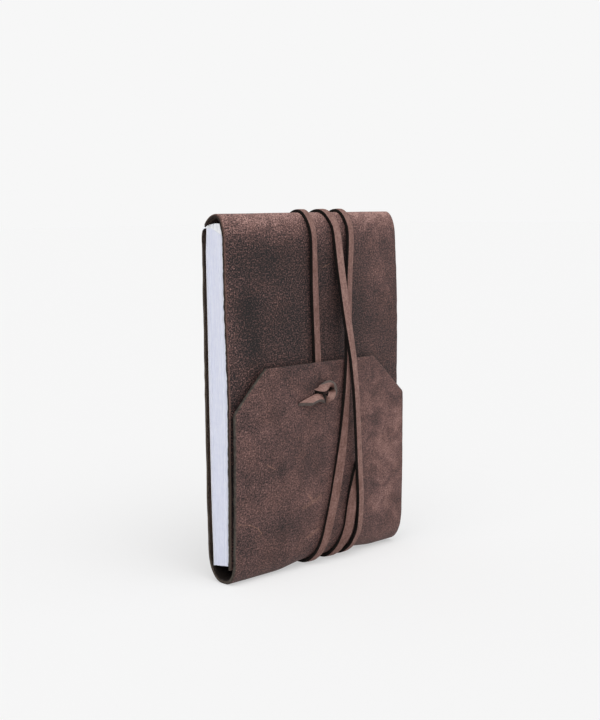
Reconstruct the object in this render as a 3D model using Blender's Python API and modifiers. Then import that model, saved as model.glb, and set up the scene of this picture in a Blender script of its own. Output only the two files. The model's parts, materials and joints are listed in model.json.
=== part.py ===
"""Pocket notebook in one wrap-round leather cover, closed by a flap and a wound leather thong.

The book stands on the folded fore edge of its cover with the spine on top.
X runs along the spine, the flap faces -Y and +Z is up. All sizes are in metres.
"""

import math

import bpy
from mathutils import Vector

# Paper block
PAGE_WIDTH = 0.105
PAGE_HEIGHT = 0.148
SIGNATURE_COUNT = 12
GROUP_COUNT = 4
SIGNATURE_THICKNESS = 0.00085
ENDPAPER_THICKNESS = 0.00025
LINING_THICKNESS = 0.0004
LEAF_GAP = 0.0001
PAGE_FOOT = 0.0068

# Leather cover
LEATHER_THICKNESS = 0.0017
COVER_OVERHANG = 0.001
COVER_CLEARANCE = 0.0003
PIECE_GAP = 0.0003
COVER_CORNER_RADIUS = 0.003
SPINE_RISE = 0.0066
FOLD_HEIGHT = 0.006
FOLD_BACK_REACH = 0.004
FOLD_FRONT_REACH = 0.0065
FOLD_LIP = 0.001

# Closing flap, chamfered at its two free corners
FLAP_HEIGHT = 0.0942
FLAP_CHAMFER_WIDTH = 0.0201
FLAP_CHAMFER_HEIGHT = 0.0181
FLAP_CORNER_RADIUS = 0.004

# Thong, a flat leather strap
THONG_WIDTH = 0.0036
THONG_THICKNESS = 0.0016
THONG_CLEARANCE = 0.0003
THONG_LAYER_GAP = 0.0005
THONG_FLOOR_GAP = 0.00025
THONG_TUCK = 0.0056
SEAT_FADE = 0.005

# Slit in the flap that the thong comes out of
SLIT_X = -0.0044
SLIT_DROP = 0.0122
SLIT_CLEARANCE = 0.0004

# Facets
ARC_STEPS = 6
SPINE_STEPS = 14
FOLD_STEPS = 16
FOLD_COLUMNS = 54

# Where each lap of the thong passes its landmarks, as a share of the lap from the bottom round the front
FRONT_LOW = 0.06
FRONT_HIGH = 0.44
TOP = 0.50
BACK_HIGH = 0.56
BACK_LOW = 0.94

# Sizes that follow from the ones above
cover_width = PAGE_WIDTH + 2 * COVER_OVERHANG
signature_pitch = SIGNATURE_THICKNESS + LEAF_GAP
endpaper_step = LEAF_GAP + ENDPAPER_THICKNESS
block_half = (SIGNATURE_COUNT * signature_pitch - LEAF_GAP) / 2 + endpaper_step
inner_half = block_half + COVER_CLEARANCE
outer_half = inner_half + LEATHER_THICKNESS
flap_inner = outer_half + THONG_THICKNESS + 2 * THONG_CLEARANCE
flap_outer = flap_inner + LEATHER_THICKNESS
fold_half = (outer_half + flap_outer) / 2
fold_centre = (outer_half - flap_outer) / 2
page_top = PAGE_FOOT + PAGE_HEIGHT
hinge_z = page_top + 2 * LEAF_GAP + LINING_THICKNESS
fold_top = FOLD_HEIGHT + FOLD_LIP
cover_foot = fold_top + PIECE_GAP
cover_top = hinge_z - FOLD_LIP - PIECE_GAP
layer_lift = THONG_THICKNESS + THONG_LAYER_GAP
thong_start = FLAP_HEIGHT - THONG_TUCK
slit_z = FLAP_HEIGHT - SLIT_DROP
slit_half_height = THONG_THICKNESS / 2 + SLIT_CLEARANCE
seat_depth = THONG_FLOOR_GAP + THONG_THICKNESS + THONG_CLEARANCE

# The whole object is centred between its foremost and rearmost reach
knot_reach = flap_outer + THONG_CLEARANCE + THONG_WIDTH
lap_reach = flap_outer + THONG_CLEARANCE + THONG_THICKNESS + layer_lift
back_reach = outer_half + THONG_CLEARANCE + THONG_THICKNESS
block_y = (max(knot_reach, lap_reach) - back_reach) / 2

LEATHER = ((0.13, 0.085, 0.072, 1), 0.62)
THONG_LEATHER = ((0.26, 0.17, 0.14, 1), 0.66)
PAPER = ((0.68, 0.69, 0.75, 1), 0.85)
LINING_CLOTH = ((0.72, 0.72, 0.72, 1), 0.9)


def clear_scene():
    for obj in list(bpy.data.objects):
        bpy.data.objects.remove(obj, do_unlink=True)


def new_collection(name):
    collection = bpy.data.collections.new(name)
    bpy.context.scene.collection.children.link(collection)
    return collection


def new_material(name, finish):
    colour, roughness = finish
    material = bpy.data.materials.new(name)
    material.use_nodes = True
    shader = material.node_tree.nodes["Principled BSDF"]
    shader.inputs["Base Color"].default_value = colour
    shader.inputs["Roughness"].default_value = roughness
    shader.inputs["Metallic"].default_value = 0.0
    return material


def add_object(name, data, finish, collection):
    obj = bpy.data.objects.new(name, data)
    data.materials.append(new_material(name, finish))
    collection.objects.link(obj)
    return obj


def add_axis(name, y, z, collection, parent=None):
    """Empty on a joint's axis, which runs along X through (y, z)."""
    axis = bpy.data.objects.new(name, None)
    axis.empty_display_size = FOLD_HEIGHT
    collection.objects.link(axis)
    place(axis, Vector((0, y, z)), parent)
    return axis


def world_place(obj):
    return obj.location + (world_place(obj.parent) if obj.parent else Vector())


def place(obj, point, parent):
    """Puts an object's origin at a world point under its parent."""
    obj.parent = parent
    obj.location = point - (world_place(parent) if parent else Vector())


def rounded_outline(corners):
    """Closed outline through (u, v, radius) corners, each rounded by a tangent arc."""
    points = []
    for index, (u, v, radius) in enumerate(corners):
        corner = Vector((u, v))
        before = (Vector(corners[index - 1][:2]) - corner).normalized()
        after = (Vector(corners[(index + 1) % len(corners)][:2]) - corner).normalized()
        half_angle = before.angle(after) / 2
        centre = corner + (before + after).normalized() * radius / math.sin(half_angle)
        start = corner + before * radius / math.tan(half_angle) - centre
        end = corner + after * radius / math.tan(half_angle) - centre
        turn = start.angle_signed(end)
        for step in range(ARC_STEPS + 1):
            angle = -turn * step / ARC_STEPS
            cosine, sine = math.cos(angle), math.sin(angle)
            spoke = Vector((start.x * cosine - start.y * sine, start.x * sine + start.y * cosine))
            points.append(centre + spoke)
    return points


def outline_curve(name, outlines, depth):
    """Flat piece: filled outlines in the curve's own plane, with a thickness of depth."""
    curve = bpy.data.curves.new(name, "CURVE")
    curve.dimensions = "2D"
    curve.fill_mode = "BOTH"
    curve.extrude = depth / 2
    for outline in outlines:
        spline = curve.splines.new("POLY")
        spline.points.add(len(outline) - 1)
        for point, target in zip(spline.points, outline):
            point.co = (target.x, target.y, 0, 1)
        spline.use_cyclic_u = True
    return curve


def add_panel(name, outlines, depth, middle_y, finish, collection, parent):
    """Upright panel: outlines in X and Z about the ground's middle, spread by depth along Y."""
    panel = add_object(name, outline_curve(name, outlines, depth), finish, collection)
    panel.rotation_euler = (math.pi / 2, 0, 0)
    place(panel, Vector((0, middle_y, 0)), parent)
    return panel


def add_bar(name, outline, width, y, z, finish, collection, parent):
    """Piece of one section in Y and Z about (y, z), as long as width along X."""
    bar = add_object(name, outline_curve(name, [outline], width), finish, collection)
    bar.rotation_euler = (math.pi / 2, 0, math.pi / 2)
    place(bar, Vector((0, y, z)), parent)
    return bar


def add_shell(name, columns, thickness, offset, origin, finish, collection, parent):
    """Sheet through columns of points, given a thickness. Offset -1 keeps the points outside, 0 halfway."""
    vertices = [point - origin for column in columns for point in column]
    rows = len(columns[0])
    faces = []
    for left in range(len(columns) - 1):
        for row in range(rows - 1):
            corner = left * rows + row
            faces.append((corner, corner + rows, corner + rows + 1, corner + 1))
    mesh = bpy.data.meshes.new(name)
    mesh.from_pydata(vertices, [], faces)
    mesh.shade_smooth()
    shell = add_object(name, mesh, finish, collection)
    solid = shell.modifiers.new("Thickness", "SOLIDIFY")
    solid.thickness = thickness
    solid.offset = offset
    solid.use_even_offset = True
    place(shell, origin, parent)
    return shell


def rectangle(half_width, low, high, low_radius, high_radius):
    return rounded_outline(
        [
            (-half_width, low, low_radius),
            (half_width, low, low_radius),
            (half_width, high, high_radius),
            (-half_width, high, high_radius),
        ]
    )


def spine_section(share):
    """Point and outward normal on the outside of the spine fold, from its front edge over to its back edge."""
    angle = math.pi * share
    point = (block_y - outer_half * math.cos(angle), hinge_z + SPINE_RISE * math.sin(angle))
    normal = Vector((-math.cos(angle) / outer_half, math.sin(angle) / SPINE_RISE)).normalized()
    return Vector(point), normal


def fold_section(share):
    """Point on the outside of the fore-edge fold, from its back edge under to its front edge."""
    flat = 2 * fold_half - FOLD_BACK_REACH - FOLD_FRONT_REACH
    back_arc = math.pi / 4 * (FOLD_BACK_REACH + FOLD_HEIGHT)
    front_arc = math.pi / 4 * (FOLD_FRONT_REACH + FOLD_HEIGHT)
    run = share * (back_arc + flat + front_arc)
    back_edge, front_edge = block_y + outer_half, block_y - flap_outer
    if run < back_arc:
        angle = math.pi / 2 * run / back_arc
        inset = FOLD_BACK_REACH * (1 - math.cos(angle))
        return Vector((back_edge - inset, FOLD_HEIGHT * (1 - math.sin(angle))))
    if run > back_arc + flat:
        angle = math.pi / 2 * (run - back_arc - flat) / front_arc
        inset = FOLD_FRONT_REACH * (1 - math.sin(angle))
        return Vector((front_edge + inset, FOLD_HEIGHT * (1 - math.cos(angle))))
    return Vector((back_edge - FOLD_BACK_REACH - (run - back_arc), 0))


def seat_section(share):
    """Point and outward normal where a lap of the thong presses the fold in, from back to front."""
    angle = math.pi * share
    height = FOLD_HEIGHT - seat_depth
    point = (block_y + fold_centre + fold_half * math.cos(angle), FOLD_HEIGHT - height * math.sin(angle))
    normal = Vector((math.cos(angle) / fold_half, -math.sin(angle) / height)).normalized()
    return Vector(point), normal


def front_at(height):
    """Share of a lap at which the thong passes a height on the front."""
    return FRONT_LOW + (FRONT_HIGH - FRONT_LOW) * (height - FOLD_HEIGHT) / (hinge_z - FOLD_HEIGHT)


def back_at(height):
    return BACK_LOW - (BACK_LOW - BACK_HIGH) * (height - FOLD_HEIGHT) / (hinge_z - FOLD_HEIGHT)


def lap_section(share, lift):
    """Point in Y and Z and outward normal of the thong's middle, lift above its seat on the leather."""
    lap, part = divmod(share, 1)
    rise = THONG_CLEARANCE + THONG_THICKNESS / 2 + lift
    if part < FRONT_LOW:
        point, normal = seat_section(0.5 + 0.5 * part / FRONT_LOW)
    elif part < FRONT_HIGH:
        height = FOLD_HEIGHT + (hinge_z - FOLD_HEIGHT) * (part - FRONT_LOW) / (FRONT_HIGH - FRONT_LOW)
        climb = max(0, (height - FLAP_HEIGHT) / (hinge_z - FLAP_HEIGHT))
        reach = outer_half if lap == 0 else flap_outer + (outer_half - flap_outer) * climb
        point, normal = Vector((block_y - reach, height)), Vector((-1, 0))
    elif part < BACK_HIGH:
        point, normal = spine_section((part - FRONT_HIGH) / (BACK_HIGH - FRONT_HIGH))
    elif part < BACK_LOW:
        height = hinge_z - (hinge_z - FOLD_HEIGHT) * (part - BACK_HIGH) / (BACK_LOW - BACK_HIGH)
        point, normal = Vector((block_y + outer_half, height)), Vector((1, 0))
    else:
        point, normal = seat_section(0.5 * (part - BACK_LOW) / (1 - BACK_LOW))
    return point + normal * rise, normal


def thong_route():
    """(share, x) points of the winding: lap number plus share of the lap, and place along the spine."""
    return [
        (front_at(thong_start), -0.0020),
        (front_at(0.114), -0.0024),
        (front_at(0.129), -0.0028),
        (front_at(0.144), -0.0037),
        (TOP, -0.0042),
        (back_at(0.080), -0.0030),
        (back_at(0.020), -0.0014),
        (1, -0.0010),
        (1 + front_at(0.0078), -0.0009),
        (1 + front_at(0.012), -0.0003),
        (1 + front_at(0.018), 0.0012),
        (1 + front_at(0.026), 0.0034),
        (1 + front_at(0.035), 0.0057),
        (1 + front_at(0.0435), 0.0075),
        (1 + front_at(0.060), 0.0106),
        (1 + front_at(0.081), 0.0128),
        (1 + front_at(0.106), 0.0152),
        (1 + front_at(0.131), 0.0183),
        (1 + front_at(0.150), 0.0212),
        (1 + TOP, 0.0203),
        (1 + back_at(0.080), 0.0206),
        (1 + back_at(0.020), 0.0212),
        (2, 0.0214),
        (2 + front_at(0.0078), 0.0213),
        (2 + front_at(0.0125), 0.0216),
        (2 + front_at(0.018), 0.0218),
        (2 + front_at(0.025), 0.0213),
        (2 + front_at(0.034), 0.0200),
        (2 + front_at(0.043), 0.0192),
        (2 + front_at(0.060), 0.0180),
        (2 + front_at(0.080), 0.0166),
        (2 + front_at(0.100), 0.0150),
        (2 + front_at(0.117), 0.0138),
        (2 + front_at(0.132), 0.0134),
        (2 + front_at(0.147), 0.0128),
        (2 + TOP, 0.0090),
        (2 + back_at(0.080), 0.0104),
        (2 + back_at(0.020), 0.0122),
        (3, 0.0127),
        (3 + front_at(0.008), 0.0126),
        (3 + front_at(0.011), 0.0130),
        (3 + front_at(0.0155), 0.0140),
        (3 + front_at(0.021), 0.0152),
        (3 + front_at(0.027), 0.0159),
        (3 + front_at(0.0335), 0.0166),
        (3 + front_at(0.0405), 0.0190),
        (3 + front_at(0.0455), 0.0205),
    ]


def hermite(route, share):
    """Smooth curve through (share, value) points."""
    index = 0
    while index < len(route) - 2 and share > route[index + 1][0]:
        index += 1
    (start, low), (end, high) = route[index], route[index + 1]
    before = route[max(index - 1, 0)]
    after = route[min(index + 2, len(route) - 1)]
    span = end - start
    slope_in = (high - before[1]) / (end - before[0]) * span
    slope_out = (after[1] - low) / (after[0] - start) * span
    t = (share - start) / span
    return (
        low * (1 + 2 * t) * (1 - t) ** 2
        + slope_in * t * (1 - t) ** 2
        + high * t * t * (3 - 2 * t)
        - slope_out * t * t * (1 - t)
    )


def smooth_step(value):
    value = min(max(value, 0), 1)
    return value * value * (3 - 2 * value)


def thong_lift(share):
    """Height of the last full lap, which rides over the tucked end and then over the lap before it."""
    up = (share - 2 - front_at(0.022)) / (front_at(0.033) - front_at(0.022))
    down = (2 + front_at(0.135) - share) / (front_at(0.135) - front_at(0.123))
    return layer_lift * smooth_step(up) * smooth_step(down)


def lap_stations(first, last):
    """Shares of the laps at which the thong has a section, close together round the folds."""
    stretches = [
        (0, FRONT_LOW, 7),
        (FRONT_LOW, FRONT_HIGH, 26),
        (FRONT_HIGH, BACK_HIGH, 14),
        (BACK_HIGH, BACK_LOW, 8),
        (BACK_LOW, 1, 7),
    ]
    shares = [first]
    for lap in range(math.floor(last) + 1):
        for start, end, count in stretches:
            for step in range(count):
                share = lap + start + (end - start) * step / count
                if first < share < last:
                    shares.append(share)
    return shares + [last]


def strap_columns(points, widths):
    """Left and right edges of a strap along points, square to its run and towards its width directions."""
    left, right = [], []
    for index, point in enumerate(points):
        run = points[min(index + 1, len(points) - 1)] - points[max(index - 1, 0)]
        width = widths[index] - run * widths[index].dot(run) / run.length_squared
        side = width.normalized() * THONG_WIDTH / 2
        left.append(point - side)
        right.append(point + side)
    return [left, right]


def least_layer_gap(route):
    """Smallest gap between two laps: beside each other in their width, or above each other in their thickness."""
    samples = 4000
    gap = math.inf
    laps = range(math.floor(route[-1][0]) + 1)
    for sample in range(samples):
        part = sample / samples
        passes = []
        for lap in laps:
            if route[0][0] <= lap + part <= route[-1][0]:
                section, normal = lap_section(lap + part, thong_lift(lap + part))
                passes.append((hermite(route, lap + part), section))
        for index, (x, section) in enumerate(passes):
            for other_x, other_section in passes[index + 1 :]:
                beside = abs(x - other_x) - THONG_WIDTH
                above = (section - other_section).length - THONG_THICKNESS
                gap = min(gap, max(beside, above))
    return gap


def add_winding(collection, parent):
    """The thong from behind the flap: three laps round the book, with its end tucked under the last lap."""
    route = thong_route()
    points, widths = [], []
    for share in lap_stations(route[0][0], route[-1][0]):
        section, normal = lap_section(share, thong_lift(share))
        points.append(Vector((hermite(route, share), section.x, section.y)))
        widths.append(Vector((1, 0, 0)))
    length = sum((after - before).length for before, after in zip(points, points[1:]))
    print(f"thong winding {length:.3f} m long, least gap to itself {least_layer_gap(route) * 1000:.2f} mm")
    columns = strap_columns(points, widths)
    middle = Vector((0, block_y, hinge_z / 2))
    add_shell("wrap_thong", columns, THONG_THICKNESS, 0, middle, THONG_LEATHER, collection, parent)


def add_knot(collection, parent):
    """The thong's knotted end: down behind the flap, out of the slit, round a standing loop and off as a tail."""
    behind = -(LEATHER_THICKNESS + THONG_CLEARANCE + THONG_THICKNESS / 2)
    stand = THONG_CLEARANCE + THONG_WIDTH / 2
    flat = THONG_CLEARANCE + THONG_THICKNESS / 2
    tilted = THONG_CLEARANCE + (THONG_WIDTH + THONG_THICKNESS) / 2 * math.sqrt(0.5)
    start_x = thong_route()[0][1]
    across, inward = Vector((1, 0, 0)), Vector((0, 1, 0))
    tail_side = Vector((0.33, 0, -0.94))
    half_turned = (inward + tail_side).normalized()
    lip_z = slit_z + slit_half_height
    path = [
        (start_x, behind, thong_start - PIECE_GAP, across),
        (start_x, behind, thong_start - PIECE_GAP - THONG_THICKNESS, across),
        ((start_x + SLIT_X) / 2, behind, (thong_start + lip_z) / 2 - THONG_CLEARANCE, across),
    ]
    for step in range(4):
        angle = math.pi / 2 * step / 3
        depth = LEATHER_THICKNESS + flat * math.cos(angle)
        path.append((SLIT_X, -depth, lip_z - flat * math.sin(angle), across))
    for step in range(4):
        angle = math.pi / 2 * step / 3
        ahead, side = 1 - math.cos(angle), math.sin(angle)
        facing = across * math.cos(angle) + inward * side
        path.append((SLIT_X + stand * ahead, stand * side, lip_z - flat, facing))
    loop = [
        (0.0042, stand, 0.0009, inward),
        (0.0068, stand, 0.0022, inward),
        (0.0093, stand, 0.0017, inward),
        (0.0104, stand, -0.0003, inward),
        (0.0092, stand, -0.0023, inward),
        (0.0066, stand, -0.0033, inward),
        (0.0034, stand, -0.0034, inward),
        (-0.0001, tilted, -0.0033, half_turned),
        (-0.0034, flat, -0.0037, tail_side),
        (-0.0061, flat, -0.0044, tail_side),
        (-0.0090, flat, -0.0054, tail_side),
    ]
    path += [(SLIT_X + x, height, slit_z + z, width) for x, height, z, width in loop]
    points = [Vector((x, block_y - flap_outer - height, z)) for x, height, z, width in path]
    widths = [width for x, height, z, width in path]
    columns = strap_columns(points, widths)
    slit = Vector((SLIT_X, block_y - flap_outer, slit_z))
    add_shell("thong_knot", columns, THONG_THICKNESS, 0, slit, THONG_LEATHER, collection, parent)


def add_fore_edge_fold(collection, parent):
    """Fold the book stands on, flat underneath and pressed in where the thong's laps pass."""
    route = thong_route()
    columns = []
    for column in range(FOLD_COLUMNS + 1):
        x = cover_width * (column / FOLD_COLUMNS - 0.5)
        points = []
        for row in range(FOLD_STEPS + 1):
            share = row / FOLD_STEPS
            part = BACK_LOW + (1 + FRONT_LOW - BACK_LOW) * share
            beside = min(abs(x - hermite(route, lap + part)) for lap in range(math.floor(route[-1][0])))
            pressed = smooth_step(1 + (THONG_WIDTH - beside) / SEAT_FADE)
            section = fold_section(share).lerp(seat_section(share)[0], pressed)
            points.append(Vector((x, section.x, section.y)))
        lip = Vector((0, 0, FOLD_LIP))
        columns.append([points[0] + lip] + points + [points[-1] + lip])
    origin = Vector((0, block_y + fold_centre, 0))
    add_shell("fore_edge_fold", columns, LEATHER_THICKNESS, -1, origin, LEATHER, collection, parent)


def add_spine_fold(collection, parent):
    columns = []
    for side in (-0.5, 0.5):
        sections = [spine_section(step / SPINE_STEPS)[0] for step in range(SPINE_STEPS + 1)]
        points = [Vector((side * cover_width, section.x, section.y)) for section in sections]
        lip = Vector((0, 0, FOLD_LIP))
        columns.append([points[0] - lip] + points + [points[-1] - lip])
    origin = Vector((0, block_y + outer_half, hinge_z))
    add_shell("spine_fold", columns, LEATHER_THICKNESS, -1, origin, LEATHER, collection, parent)


def add_covers(collection, cover_axis, book):
    middle = (inner_half + outer_half) / 2
    front = rectangle(cover_width / 2, cover_foot, cover_top, COVER_CORNER_RADIUS, PIECE_GAP)
    back = rectangle(cover_width / 2, cover_foot, cover_top, PIECE_GAP, PIECE_GAP)
    thickness = LEATHER_THICKNESS
    add_panel("front_cover", [front], thickness, block_y - middle, LEATHER, collection, cover_axis)
    add_panel("back_cover", [back], thickness, block_y + middle, LEATHER, collection, book)


def add_closing_flap(collection, parent):
    side = cover_width / 2
    shoulder = FLAP_HEIGHT - FLAP_CHAMFER_HEIGHT
    outline = rounded_outline(
        [
            (-side, cover_foot, PIECE_GAP),
            (side, cover_foot, PIECE_GAP),
            (side, shoulder, FLAP_CORNER_RADIUS),
            (side - FLAP_CHAMFER_WIDTH, FLAP_HEIGHT, FLAP_CORNER_RADIUS),
            (FLAP_CHAMFER_WIDTH - side, FLAP_HEIGHT, FLAP_CORNER_RADIUS),
            (-side, shoulder, FLAP_CORNER_RADIUS),
        ]
    )
    half_width = THONG_WIDTH / 2 + SLIT_CLEARANCE
    low, high = slit_z - slit_half_height, slit_z + slit_half_height
    slit = rectangle(half_width, low, high, SLIT_CLEARANCE, SLIT_CLEARANCE)
    slit = [point + Vector((SLIT_X, 0)) for point in slit]
    middle = block_y - (flap_inner + flap_outer) / 2
    add_panel("closing_flap", [outline, slit], LEATHER_THICKNESS, middle, LEATHER, collection, parent)


def add_paper(collection, group_parents):
    """Signatures from the front to the back, the two endpapers and one strip of spine lining for each group."""
    group_size = SIGNATURE_COUNT // GROUP_COUNT
    round_back = SIGNATURE_THICKNESS / 2 - LEAF_GAP
    leaf = rectangle(SIGNATURE_THICKNESS / 2, 0, PAGE_HEIGHT, LEAF_GAP, round_back)
    first = block_y - block_half + endpaper_step + SIGNATURE_THICKNESS / 2
    for index in range(SIGNATURE_COUNT):
        name = f"signature_{index + 1:02d}"
        parent = group_parents[index // group_size]
        y = first + index * signature_pitch
        add_bar(name, leaf, PAGE_WIDTH, y, PAGE_FOOT, PAPER, collection, parent)

    page = rectangle(PAGE_WIDTH / 2, PAGE_FOOT, page_top, PIECE_GAP, PIECE_GAP)
    sheet_y = block_half - ENDPAPER_THICKNESS / 2
    thickness = ENDPAPER_THICKNESS
    add_panel("front_endpaper", [page], thickness, block_y - sheet_y, PAPER, collection, group_parents[0])
    add_panel("back_endpaper", [page], thickness, block_y + sheet_y, PAPER, collection, group_parents[-1])

    strip_half = (group_size * signature_pitch - LEAF_GAP) / 2
    strip = rectangle(strip_half, 0, LINING_THICKNESS, LEAF_GAP, LEAF_GAP)
    for group, parent in enumerate(group_parents):
        y = first - SIGNATURE_THICKNESS / 2 + strip_half + group * group_size * signature_pitch
        name = f"spine_lining_{group + 1}"
        add_bar(name, strip, PAGE_WIDTH, y, page_top + LEAF_GAP, LINING_CLOTH, collection, parent)


def main():
    clear_scene()
    collection = new_collection("leather_notebook")
    book = add_axis("book", block_y, 0, collection)
    spine_axis = add_axis("spine_axis", block_y + outer_half, hinge_z, collection, book)
    cover_axis = add_axis("cover_axis", block_y - outer_half, hinge_z, collection, spine_axis)
    flap_axis = add_axis("flap_axis", block_y - flap_outer, fold_top, collection, book)
    page_axes = []
    for group in range(GROUP_COUNT - 1):
        name = f"page_axis_{group + 1}"
        page_axes.append(add_axis(name, block_y + outer_half, hinge_z, collection, book))
    add_paper(collection, page_axes + [book])
    add_spine_fold(collection, spine_axis)
    add_covers(collection, cover_axis, book)
    add_fore_edge_fold(collection, book)
    add_closing_flap(collection, flap_axis)
    add_winding(collection, book)
    add_knot(collection, flap_axis)


main()
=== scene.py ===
"""The looks of the leather notebook: one worn hide round a block of pages, closed by a wound thong."""

import json
import math
import random

import bpy
import numpy as np
from mathutils import Matrix, Vector, noise


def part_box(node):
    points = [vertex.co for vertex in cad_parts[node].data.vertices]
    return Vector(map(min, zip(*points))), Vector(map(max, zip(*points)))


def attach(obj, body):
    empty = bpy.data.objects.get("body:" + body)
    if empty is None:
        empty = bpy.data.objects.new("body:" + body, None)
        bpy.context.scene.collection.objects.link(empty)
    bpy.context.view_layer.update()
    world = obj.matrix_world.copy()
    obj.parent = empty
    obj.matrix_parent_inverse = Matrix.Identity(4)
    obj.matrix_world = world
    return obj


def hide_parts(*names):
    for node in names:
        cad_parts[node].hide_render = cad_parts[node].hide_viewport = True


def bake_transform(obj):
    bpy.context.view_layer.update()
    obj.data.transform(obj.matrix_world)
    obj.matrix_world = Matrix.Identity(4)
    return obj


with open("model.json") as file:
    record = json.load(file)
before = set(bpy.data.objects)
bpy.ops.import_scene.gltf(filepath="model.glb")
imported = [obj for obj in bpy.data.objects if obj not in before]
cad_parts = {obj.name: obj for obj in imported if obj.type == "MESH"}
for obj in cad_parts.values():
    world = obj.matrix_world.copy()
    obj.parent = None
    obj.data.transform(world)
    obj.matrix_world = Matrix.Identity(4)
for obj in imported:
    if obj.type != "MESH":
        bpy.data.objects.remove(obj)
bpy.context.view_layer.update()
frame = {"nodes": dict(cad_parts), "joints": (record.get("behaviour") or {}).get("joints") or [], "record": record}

MM = 0.001

# The hide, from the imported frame
HALF_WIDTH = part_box("front_cover")[1].x
FRONT_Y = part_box("front_cover")[0].y
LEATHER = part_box("front_cover")[1].y - FRONT_Y
COVER_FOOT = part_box("front_cover")[0].z
BACK_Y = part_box("back_cover")[1].y
FLAP_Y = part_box("closing_flap")[0].y
FLAP_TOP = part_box("closing_flap")[1].z
SPINE_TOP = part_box("spine_fold")[1].z
HINGE_Y, HINGE_Z = next(joint for joint in frame["joints"] if joint["name"] == "spine_hinge")["pos_m"][1:]

# How the hide leans and bulges: rows of height, then millimetres outwards at the left and the right end
FRONT_BOW = ((7, -0.8, -1.6), (18, -0.6, -0.4), (30, -0.4, -0.1), (45, 0.0, -0.1), (65, 0.2, -0.1),
             (85, 0.5, 0.0), (100, 0.1, 0.1), (115, -0.6, 0.2), (130, -0.8, 0.0), (144, -0.95, -0.8),
             (150, -0.9, -1.1))
BACK_BOW = ((12, 0.2, 0.3), (29, 0.65, 0.3), (50, 0.7, 0.2), (80, 0.7, 0.1), (110, 0.6, 0.1),
            (150, 0.7, 0.2))
FLAP_BOW = ((14, -1.3, -1.2), (22, -1.0, -1.0), (39, -0.5, -0.55), (65, 0.25, -0.1), (94, 0.0, 0.0))
ARCH_Z = 0.150
ARCH_MIDDLE = 0.0020
FOLD_CENTRE = (0.0016, 0.0044)
FOLD_FRONT_HEIGHT = (0.014, 0.020)
FOLD_BACK_HEIGHT = 0.012
FOLD_BASE = (0.0, 0.0003)
FOLD_SQUARE = 2.6
UNDULATION = 0.00016
UNDULATION_SIZE = 0.022
UNDULATION_RATE = 9
UNDULATION_SEED = 1.5
EDGE_WANDER = 0.00016
EDGE_WANDER_SIZE = 0.0045
KNIFE_SEED = 4.5
EDGE_FIBRE = 0.00034
EDGE_FIBRE_SIZE = 0.0014
FIBRE_SEED = 6.5
FIBRE_DEPTH_RATE = 1.3
FIBRE_SIDE = 3
EDGE_INSET = 0.0005
EDGE_BAND = 1.5 * EDGE_INSET
# The rounded cut edge: rows of how far in and how deep, and rows of how far out and how thick for a free end
EDGE_RING = ((0.00022, 0.07), (0.00006, 0.22), (0.0, 0.5), (0.0, 0.78), (0.00012, 0.94))
END_ROUNDING = ((0.00018, 0.9), (0.0003, 0.66), (0.00034, 0.35))
# Rows of the hide's mesh, counted along it by q: 0-1 up the front, 1-2 over the spine, 2-3 down the back,
# 3-4 round the fold and 4-5 up the flap
SPINE_SEAM = 1.80
FOLD_SEAM = 3.5
FLAP_END = 4.9999
SEAM_STEP = 0.004
TANGENT_STEP = 0.004
ROW_MATCH = 1e-6
HIDE_COLUMN = 0.0018
HIDE_ROW = 0.0011
ARCH_ROWS = 30
FOLD_ROWS = 30

# The flap's outline and its slit
FLAP_CHAMFERS = ((0.0176, 0.0171), (0.0201, 0.0195))
FLAP_CORNER_RADIUS = 0.0012
SLIT_X = -0.0044
SLIT_Z = FLAP_TOP - 0.0122
SLIT_HALF_WIDTH = 0.0022
SLIT_HALF_HEIGHT = 0.0011
SLIT_ROOM = 0.45

# The thong and its laps
THONG_WIDTH = 0.0036
THONG_THICKNESS = 0.0018
THONG_CROWN = 0.00004
THONG_CLEARANCE = 0.0004
THONG_FLOOR_GAP = 0.00025
THONG_LAYER = 0.0021
THONG_CORNER = 0.00025
CUT_CORNER = 0.2
THONG_STEP = 0.0013
THONG_ROLL = math.radians(2.5)
THONG_ROLL_SIZE = 0.035
THONG_ROLL_SEED = 8.5
ROLL_SEAT = 0.8
WINDING_POINTS = 2400
WINDING_SMOOTH = 20
THONG_START = FLAP_TOP - 0.0056
THONG_PRESSED = 0.0001
PRESSED_HEIGHT = 0.016
TOP_PRESSED = -0.0002
TOP_HEIGHTS = (0.150, 0.160)
SEAT_DEPTH = THONG_FLOOR_GAP + THONG_THICKNESS + THONG_PRESSED
SEAT_FADE = 0.020
KNOT_STEP = 0.0006
KNOT_BREADTH = 0.0038
KNOT_SLANT = -1.5
SLANT_REACH = 0.008
LAP_COUNT = 3
LAP_LOW = 0.006
# A lap starts under the fold. Shares of it where its front, its way over the spine and its back begin or end
FRONT_LOW = 0.06
FRONT_HIGH = 0.44
TOP = 0.50
BACK_HIGH = 0.56
BACK_LOW = 0.94

# The block of pages
BLOCK_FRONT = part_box("front_endpaper")[0].y
BLOCK_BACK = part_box("back_endpaper")[1].y
PAGE_HALF_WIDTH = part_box("signature_01")[1].x
PAGE_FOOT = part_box("signature_01")[0].z
LEAVES_IN_SIGNATURE = 8
LEAF_SHARE = 0.9
LEAF_JITTER = 0.00010
FOOT_JITTER = 0.0003
SIGNATURE_JITTER = 0.00012
LEAF_ROWS = 14
BLOCK_TOP_FRONT = 0.1526
BLOCK_TOP_RISE = 0.0035
BLOCK_ARCH_SHARE = 0.98
LINING_ROOM = 0.0006
LINING_BASE = 0.00005
LINING_LEAST = 0.0002
LINING_COLUMNS = 7
LINING_STATIONS = 24
PAPER_SEED = 7
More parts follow.
